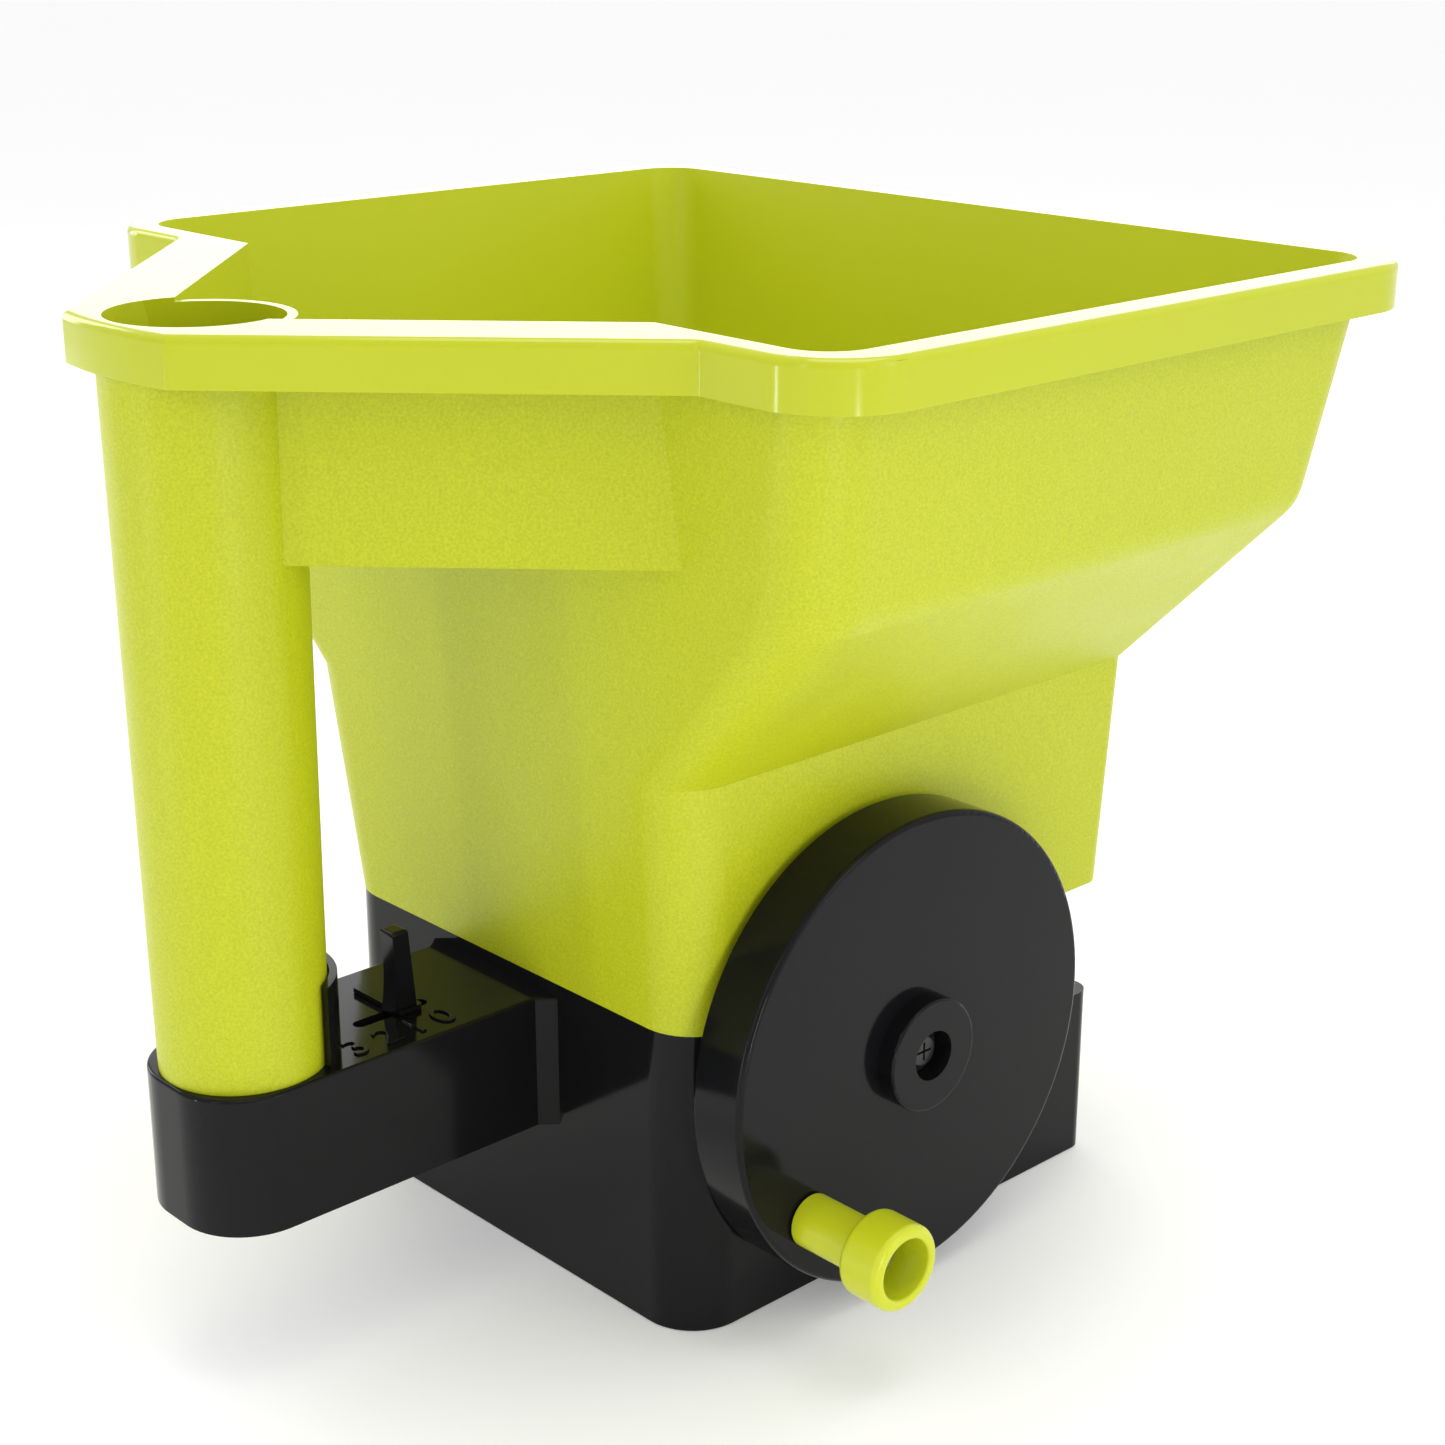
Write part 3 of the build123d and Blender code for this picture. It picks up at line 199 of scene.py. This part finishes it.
def detailed(node_name, width, segments=3, angle=28.0, materials=None, pick=None, seam=None):
    """Smooth-shaded copy of a CAD solid with rounded edges.

    pick(centre, normal) chooses a material for a face. An end face on the seam plane, given as a y,
    is let a little into the piece it meets, so that its rounded edges do not leave a groove.
    """
    source = nodes[node_name].data
    mesh = bpy.data.meshes.new(node_name + "_skin")
    corners = [vertex.co.copy() for vertex in source.vertices]
    mesh.from_pydata(corners, [], [list(face.vertices) for face in source.polygons])
    if seam is not None:
        for vertex in mesh.vertices:
            if abs(vertex.co.y / MM - seam) < 0.05:
                vertex.co.y += SEAM_DEPTH * MM
    shape = bmesh.new()
    shape.from_mesh(mesh)
    bmesh.ops.remove_doubles(shape, verts=shape.verts, dist=MERGE_DISTANCE * MM)
    bmesh.ops.dissolve_limit(
        shape,
        angle_limit=math.radians(FLAT_ANGLE),
        verts=shape.verts,
        edges=shape.edges,
        delimit=set(),
    )
    shape.normal_update()
    for face in shape.faces:
        face.smooth = True
        if pick:
            face.material_index = pick(face.calc_center_median() / MM, face.normal)
    shape.to_mesh(mesh)
    shape.free()
    for material in materials or [nodes[node_name].data.materials[0]]:
        mesh.materials.append(material)
    piece = bpy.data.objects.new(node_name + "_skin", mesh)
    bpy.context.scene.collection.objects.link(piece)
    bevel = piece.modifiers.new("rounded_edges", "BEVEL")
    bevel.width = width * MM
    bevel.segments = segments
    bevel.limit_method = "ANGLE"
    bevel.angle_limit = math.radians(angle)
    bevel.miter_outer = "MITER_ARC"
    bevel.use_clamp_overlap = True
    bpy.context.view_layer.objects.active = piece
    bpy.ops.object.select_all(action="DESELECT")
    piece.select_set(True)
    bpy.ops.object.modifier_apply(modifier=bevel.name)
    bpy.ops.object.shade_smooth_by_angle(angle=math.radians(angle))
    weighted = piece.modifiers.new("even_shading", "WEIGHTED_NORMAL")
    weighted.keep_sharp = True
    weighted.weight = 60
    bpy.ops.object.modifier_apply(modifier=weighted.name)
    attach(piece, nodes[node_name]["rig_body"])
    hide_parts(node_name)
    return piece


def hopper_finish(centre, normal):
    """Grained outer walls, smooth rim, satin inside."""
    outward = Vector((centre.x, centre.y - HOPPER_MIDDLE_Y, 0))
    facing = normal.dot(outward.normalized())
    if centre.z > RIM_TOP - LIP_DEPTH - 0.5 and facing > -0.2:
        return 1
    return 0 if facing > -0.2 else 2


detailed("hopper", 0.8, 3, 24.0, [lime_grained, lime_smooth, lime_inner], hopper_finish)
detailed("handle_tube", 0.5)
detailed("base_housing", 0.6)
detailed("handle_arm", 0.6, seam=ARM_SEAM_Y)
detailed("crank_wheel", 0.5, 2, 32.0)
detailed("crank_knob", 0.5, materials=[lime_knob])
detailed("gate_lever", 0.5)
for name in ("bottom_cover", "impeller", "agitator", "gate_plate"):
    detailed(name, 0.35, 2, 30.0)


# ---------------------------------------------------------------- setting numbers

# raised on the arm beside the lever, read from the crank side
ARM_TOP = 73.5
DIGIT_X = 14.0
DIGIT_PLACES = (-69.5, -77.5, -85.5, -94.0)
DIGIT_SIZE = 11.0
for setting, place in enumerate(DIGIT_PLACES):
    font = bpy.data.curves.new("digit_%d" % setting, "FONT")
    font.body = str(setting)
    font.size = DIGIT_SIZE * MM
    font.extrude = 0.25 * MM
    font.bevel_depth = 0.08 * MM
    font.bevel_resolution = 2
    font.align_x = "CENTER"
    font.align_y = "CENTER"
    digit = bpy.data.objects.new("digit_%d" % setting, font)
    bpy.context.scene.collection.objects.link(digit)
    digit.location = (DIGIT_X * MM, place * MM, (ARM_TOP + 0.15) * MM)
    digit.rotation_euler = (0, 0, math.radians(90.0))
    font.materials.append(black_gloss)
    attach(digit, nodes["handle_arm"]["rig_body"])


# ---------------------------------------------------------------- stage, all lengths in metres

bpy.ops.mesh.primitive_plane_add(size=30.0, location=(0, 0, -0.0003))
floor = bpy.context.object
floor.name = "floor"
floor_material, floor_shader, floor_tree = new_material("studio_floor")
floor_shader.inputs["Roughness"].default_value = 0.9
paper = texture(floor_tree, "ShaderNodeTexNoise", Scale=9.0, Detail=2.0)
floor_tree.links.new(
    mix_colors(floor_tree, paper.outputs["Fac"], (0.90, 0.90, 0.90), (0.92, 0.92, 0.92)),
    floor_shader.inputs["Base Color"],
)
floor_shader.inputs["Emission Color"].default_value = (1, 1, 1, 1)
floor_shader.inputs["Emission Strength"].default_value = 0.16
floor.data.materials.append(floor_material)

# white surroundings, a little dimmer behind the handle
world = bpy.data.worlds.new("studio")
bpy.context.scene.world = world
world.use_nodes = True
sky_tree = world.node_tree
sky = sky_tree.nodes["Background"]
sky.inputs["Color"].default_value = (1, 1, 1, 1)
direction = sky_tree.nodes.new("ShaderNodeTexCoord")
axes = sky_tree.nodes.new("ShaderNodeSeparateXYZ")
sky_tree.links.new(direction.outputs["Generated"], axes.inputs["Vector"])
sky_tree.links.new(
    remap(sky_tree, axes.outputs["Y"], -0.9, 0.2, 0.68, 0.95),
    sky.inputs["Strength"],
)


def softbox(name, position, target, width, height, power):
    """Rectangular area light aimed at a point."""
    light = bpy.data.lights.new(name, "AREA")
    light.shape = "RECTANGLE"
    light.size = width
    light.size_y = height
    light.energy = power
    lamp = bpy.data.objects.new(name, light)
    lamp.location = position
    aim = Vector(target) - Vector(position)
    lamp.rotation_euler = aim.to_track_quat("-Z", "Y").to_euler()
    lamp.visible_camera = False
    bpy.context.scene.collection.objects.link(lamp)


softbox("softbox_left", (-1.15, -0.30, 0.55), (0, 0, 0.12), 0.35, 0.9, 3.6)
softbox("softbox_front", (0.25, -1.25, 0.70), (0, 0, 0.12), 0.25, 0.9, 1.2)
softbox("softbox_right", (1.15, 0.30, 0.5), (0, 0, 0.12), 0.30, 0.9, 1.2)
# low narrow strips that put the bright streaks on the rim's corners
softbox("strip_right", (0.47, -0.17, 0.08), (0.09, -0.03, 0.15), 0.015, 0.14, 0.22)
softbox("strip_rear", (-0.09, -0.53, 0.08), (0.02, -0.05, 0.15), 0.015, 0.14, 0.15)
softbox("softbox_top", (0.1, 0.1, 1.3), (0, 0, 0.1), 0.8, 0.8, 5.5)
softbox("softbox_back", (-1.1, 1.15, 0.62), (0, 0, 0.2), 1.8, 0.6, 4.5)
bpy.context.scene.view_settings.view_transform = "Standard"


# ---------------------------------------------------------------- camera

CAMERA_PLACE = Vector((0.4491, -0.3877, 0.3311))
AZIMUTH = math.radians(46.864)
ELEVATION = math.radians(19.04)
ROLL = math.radians(0.082)
look = Vector((
    -math.sin(AZIMUTH) * math.cos(ELEVATION),
    math.cos(AZIMUTH) * math.cos(ELEVATION),
    -math.sin(ELEVATION),
))
right = Vector((math.cos(AZIMUTH), math.sin(AZIMUTH), 0))
up = right.cross(look)
turn = Matrix((right, up, -look)).transposed() @ Matrix.Rotation(ROLL, 3, "Z")
lens = bpy.data.cameras.new("camera")
lens.sensor_width = 36.0
lens.lens = 62.73
camera = bpy.data.objects.new("camera", lens)
camera.matrix_world = Matrix.Translation(CAMERA_PLACE) @ turn.to_4x4()
bpy.context.scene.collection.objects.link(camera)
bpy.context.scene.camera = camera
